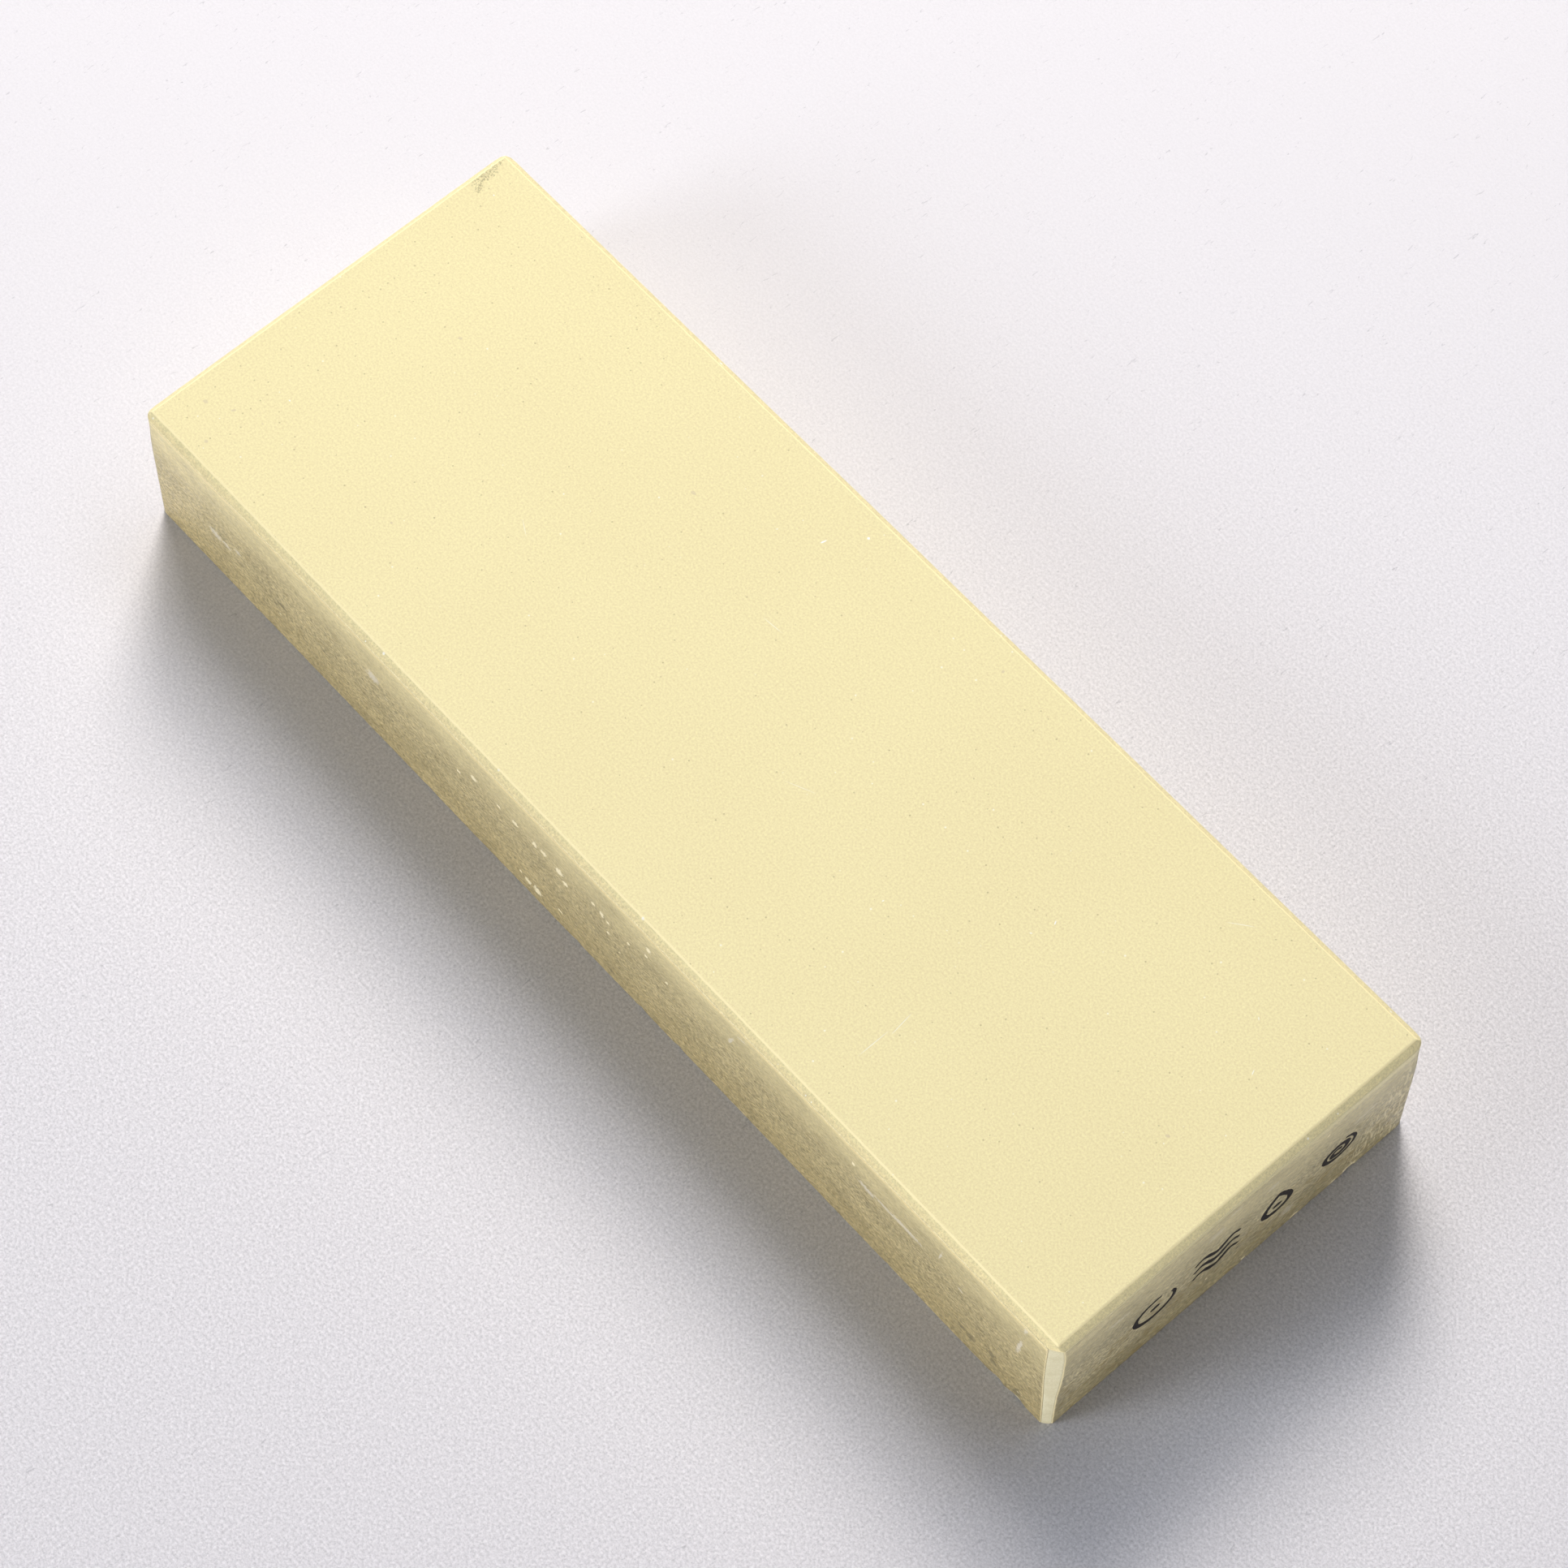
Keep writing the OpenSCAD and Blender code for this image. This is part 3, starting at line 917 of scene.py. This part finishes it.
def stroke_rows(net, line, centre, limits, closed, seed):
    """Rows of points across a brush stroke: over its ragged top, and under it inside the coat."""
    steps = len(line) - 1
    tops, bottoms = [], []
    for i, (y, z) in enumerate(line[:steps] if closed else line):
        before, after = neighbours(line, i, closed)
        step = Vector((after[0] - before[0], after[1] - before[1])).normalized()
        swell = 1.0 if closed else THIN_END + (1 - THIN_END) * math.sin(math.pi * i / steps)
        top, bottom = [], []
        for j in range(STROKE_ACROSS + 1):
            s = 2 * j / STROKE_ACROSS - 1
            ragged = 1 + 0.16 * wobble((y, z, s * MM), 0.45 * MM, seed + 5) if abs(s) > 0.9 else 1
            half = INK_FULL / 2 * swell * ragged
            at_y, at_z = centre.y + y - step.y * s * half, centre.z + z + step.x * s * half
            surface = HALF_L + coat_relief(1, at_y + HALF_W, at_z, limits)
            top.append(Vector((surface + INK_PROUD * (1 - s ** 6), at_y, at_z)))
            bottom.append(Vector((surface - INK_DEPTH, at_y, at_z)))
        tops.append(net.row(top))
        bottoms.append(net.row(bottom))
    return tops, bottoms


def stroke(net, line, centre, limits, closed, seed):
    """A brush stroke along a line, as a closed thin solid that lies on the marked end's coat."""
    tops, bottoms = stroke_rows(net, line, centre, limits, closed, seed)
    if closed:
        tops.append(tops[0])
        bottoms.append(bottoms[0])
    for top, next_top, bottom, next_bottom in zip(tops, tops[1:], bottoms, bottoms[1:]):
        net.weave(top, next_top)
        net.weave(bottom[::-1], next_bottom[::-1])
        net.face((top[0], next_top[0], next_bottom[0], bottom[0]), 0)
        net.face((next_top[-1], top[-1], bottom[-1], next_bottom[-1]), 0)
    if not closed:
        for end, turn in ((0, 1), (-1, -1)):
            net.weave(tops[end][::turn], bottoms[end][::turn])


def line_of(point):
    """The points of a line, from a function that takes 0 to 1 to a place round its mark's centre."""
    return [point(i / STROKE_STEPS) for i in range(STROKE_STEPS + 1)]


def ring_line(t):
    a = math.radians(75 + 320 * t)
    return math.cos(a) * (MARK_W - INK_FULL) / 2, math.sin(a) * (MARK_H - INK_FULL) / 2


def dot_line(size, drop):
    return lambda t: ((t - 0.5) * size, drop + 0.12 * size * math.sin(math.pi * t))


def wave_line(rise):
    return lambda t: ((t - 0.5) * MARK_W, rise + math.sin(3 * math.pi * t) * MARK_H / 9)


def drop_line(t):
    a = 2 * math.pi * t
    return math.sin(a) * abs(math.sin(a / 2)) * MARK_W / 2.6, math.cos(a) * (MARK_H - INK_FULL) / 2


def spiral_line(t):
    a = 2 * math.pi * 2.2 * t
    r = (MARK_H - INK_FULL) / 2 * (0.12 + 0.88 * t)
    return math.cos(a) * r * MARK_W / MARK_H, math.sin(a) * r


# ---- Building the pieces ----
def fix_normals(obj):
    """Turns every face outwards."""
    net = bmesh.new()
    net.from_mesh(obj.data)
    bmesh.ops.recalc_face_normals(net, faces=net.faces)
    net.to_mesh(obj.data)
    net.free()


def add_piece(obj, node):
    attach(obj, "root")
    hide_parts(node)


def build_block():
    looks = [honed_look(), bevel_look(), rubbed_look(), side_coat_look()]
    block = block_net().object("ground_block", looks)
    fix_normals(block)
    displace(block, grit)
    add_piece(block, "abrasive_block")


def build_coats():
    looks, rim = (side_coat_look(), end_coat_look()), rim_look()
    nodes = ("side_coat_left", "end_coat_marked", "side_coat_right", "end_coat_plain")
    for side, node in enumerate(nodes):
        obj = coat_net(side).object(node.replace("coat", "skin"), [looks[side % 2], rim])
        fix_normals(obj)
        add_piece(obj, node)


def build_ink():
    ink = ink_look()
    limits = side_limits(1, TOP / 2, 0)
    waves, drop = middle_of("ink_mark_waves"), middle_of("ink_mark_drop")
    pitch = drop.y - waves.y

    def mark(node, place, strokes):
        net = Net()
        centre = Vector((HALF_L, waves.y + (place - 1) * pitch, waves.z))
        for seed, (point, closed) in enumerate(strokes):
            stroke(net, line_of(point), centre, limits, closed, seed)
        obj = net.object(node.replace("ink_mark", "brush_mark"), [ink])
        fix_normals(obj)
        add_piece(obj, node)

    dot = 1.5 * INK_FULL
    mark("ink_mark_ring", 0, [(ring_line, False), (dot_line(dot, 0), False)])
    mark("ink_mark_waves", 1, [(wave_line(rise * MARK_H * 0.34), False) for rise in (-1, 0, 1)])
    mark("ink_mark_drop", 2, [(drop_line, True), (dot_line(dot, -0.14 * MARK_H), False)])
    mark("ink_mark_spiral", 3, [(spiral_line, False)])


# ---- Paper, light and camera ----
VIEW_AZIMUTH, VIEW_ELEVATION, VIEW_ROLL = 47.2, 63.0, 1.2
VIEW_DISTANCE = 738 * MM
VIEW_LENS, VIEW_SENSOR = 115, 36
VIEW_CLIP = (0.01, 10)
AIM = Vector((10.4 * MM, -5.5 * MM, TOP))    # what the camera looks at
PAPER_HALF = 1.5
WINDOW_TINT = (1.0, 0.945, 0.92)
SKY_TINT = (0.92, 0.97, 1.12)
SKY_STRENGTH = 0.03

# Soft lights: name, tint, azimuth, elevation, distance, width and height, power
LIGHTS = (
    ("window_high", WINDOW_TINT, 233.5, 44.5, 1.5, (0.75, 0.75), 11.9),
    ("window_low", WINDOW_TINT, 225, 37, 1.5, (0.5, 0.5), 11.2),
    ("ceiling", SKY_TINT, 215, 63, 1.5, (1.3, 0.6), 4.4),
    ("skylight", SKY_TINT, 150, 62, 1.5, (0.9, 0.6), 2.1),
    ("fill", SKY_TINT, 338, 30, 1.5, (0.6, 0.6), 6.0),
)
# The same for low cards that reflect light onto the near end and the left side, but not onto the paper
CARDS = (
    ("card", WINDOW_TINT, 33, 12, 1.2, (1.1, 0.4), 8.7),
    ("side_card", WINDOW_TINT, 60, 12, 1.2, (1.1, 0.4), 1.9),
)


def towards(azimuth, elevation):
    """The direction out of the stone's centre at an azimuth, 0 being -Y and 90 +X, and an elevation."""
    a, e = math.radians(azimuth), math.radians(elevation)
    return Vector((math.sin(a) * math.cos(e), -math.cos(a) * math.cos(e), math.sin(e)))


def add_floor():
    mesh = bpy.data.meshes.new("paper")
    corners = [(x * PAPER_HALF, y * PAPER_HALF, 0) for x, y in ((-1, -1), (1, -1), (1, 1), (-1, 1))]
    mesh.from_pydata(corners, [], [(0, 1, 2, 3)])
    floor = bpy.data.objects.new("paper", mesh)
    floor.data.materials.append(paper_look())
    bpy.context.scene.collection.objects.link(floor)
    return floor


def add_light(name, tint, azimuth, elevation, distance, size, power, spared=None):
    """A soft light of a given width and height. It doesn't fall on the object that it is to spare."""
    light = bpy.data.lights.new(name, "AREA")
    light.shape = "ELLIPSE"
    light.size, light.size_y = size
    light.energy = power
    light.color = tint
    obj = bpy.data.objects.new(name, light)
    out = towards(azimuth, elevation)
    obj.location = out * distance
    obj.rotation_mode = "QUATERNION"
    obj.rotation_quaternion = out.to_track_quat("Z", "Y")
    bpy.context.scene.collection.objects.link(obj)
    if spared is not None:
        receivers = bpy.data.collections.new(name + "_receivers")
        receivers.objects.link(spared)
        receivers.collection_objects[0].light_linking.link_state = "EXCLUDE"
        obj.light_linking.receiver_collection = receivers


def add_world():
    """A little soft light from all round."""
    world = bpy.data.worlds.new("studio")
    world.use_nodes = True
    sky = world.node_tree.nodes["Background"]
    sky.inputs["Color"].default_value = (*SKY_TINT, 1)
    sky.inputs["Strength"].default_value = SKY_STRENGTH
    bpy.context.scene.world = world


def add_camera():
    data = bpy.data.cameras.new("camera")
    data.sensor_width = VIEW_SENSOR
    data.lens = VIEW_LENS
    data.clip_start, data.clip_end = VIEW_CLIP
    camera = bpy.data.objects.new("camera", data)
    back = towards(VIEW_AZIMUTH, VIEW_ELEVATION)
    turned = back.to_track_quat("Z", "Y").to_matrix() @ Matrix.Rotation(math.radians(VIEW_ROLL), 3, "Z")
    camera.matrix_world = Matrix.Translation(AIM + back * VIEW_DISTANCE) @ turned.to_4x4()
    bpy.context.scene.collection.objects.link(camera)
    bpy.context.scene.camera = camera


add_camera()
build_block()
build_coats()
build_ink()
paper = add_floor()
for light in LIGHTS:
    add_light(*light)
for card in CARDS:
    add_light(*card, spared=paper)
add_world()
bpy.context.scene.view_settings.view_transform = "Standard"
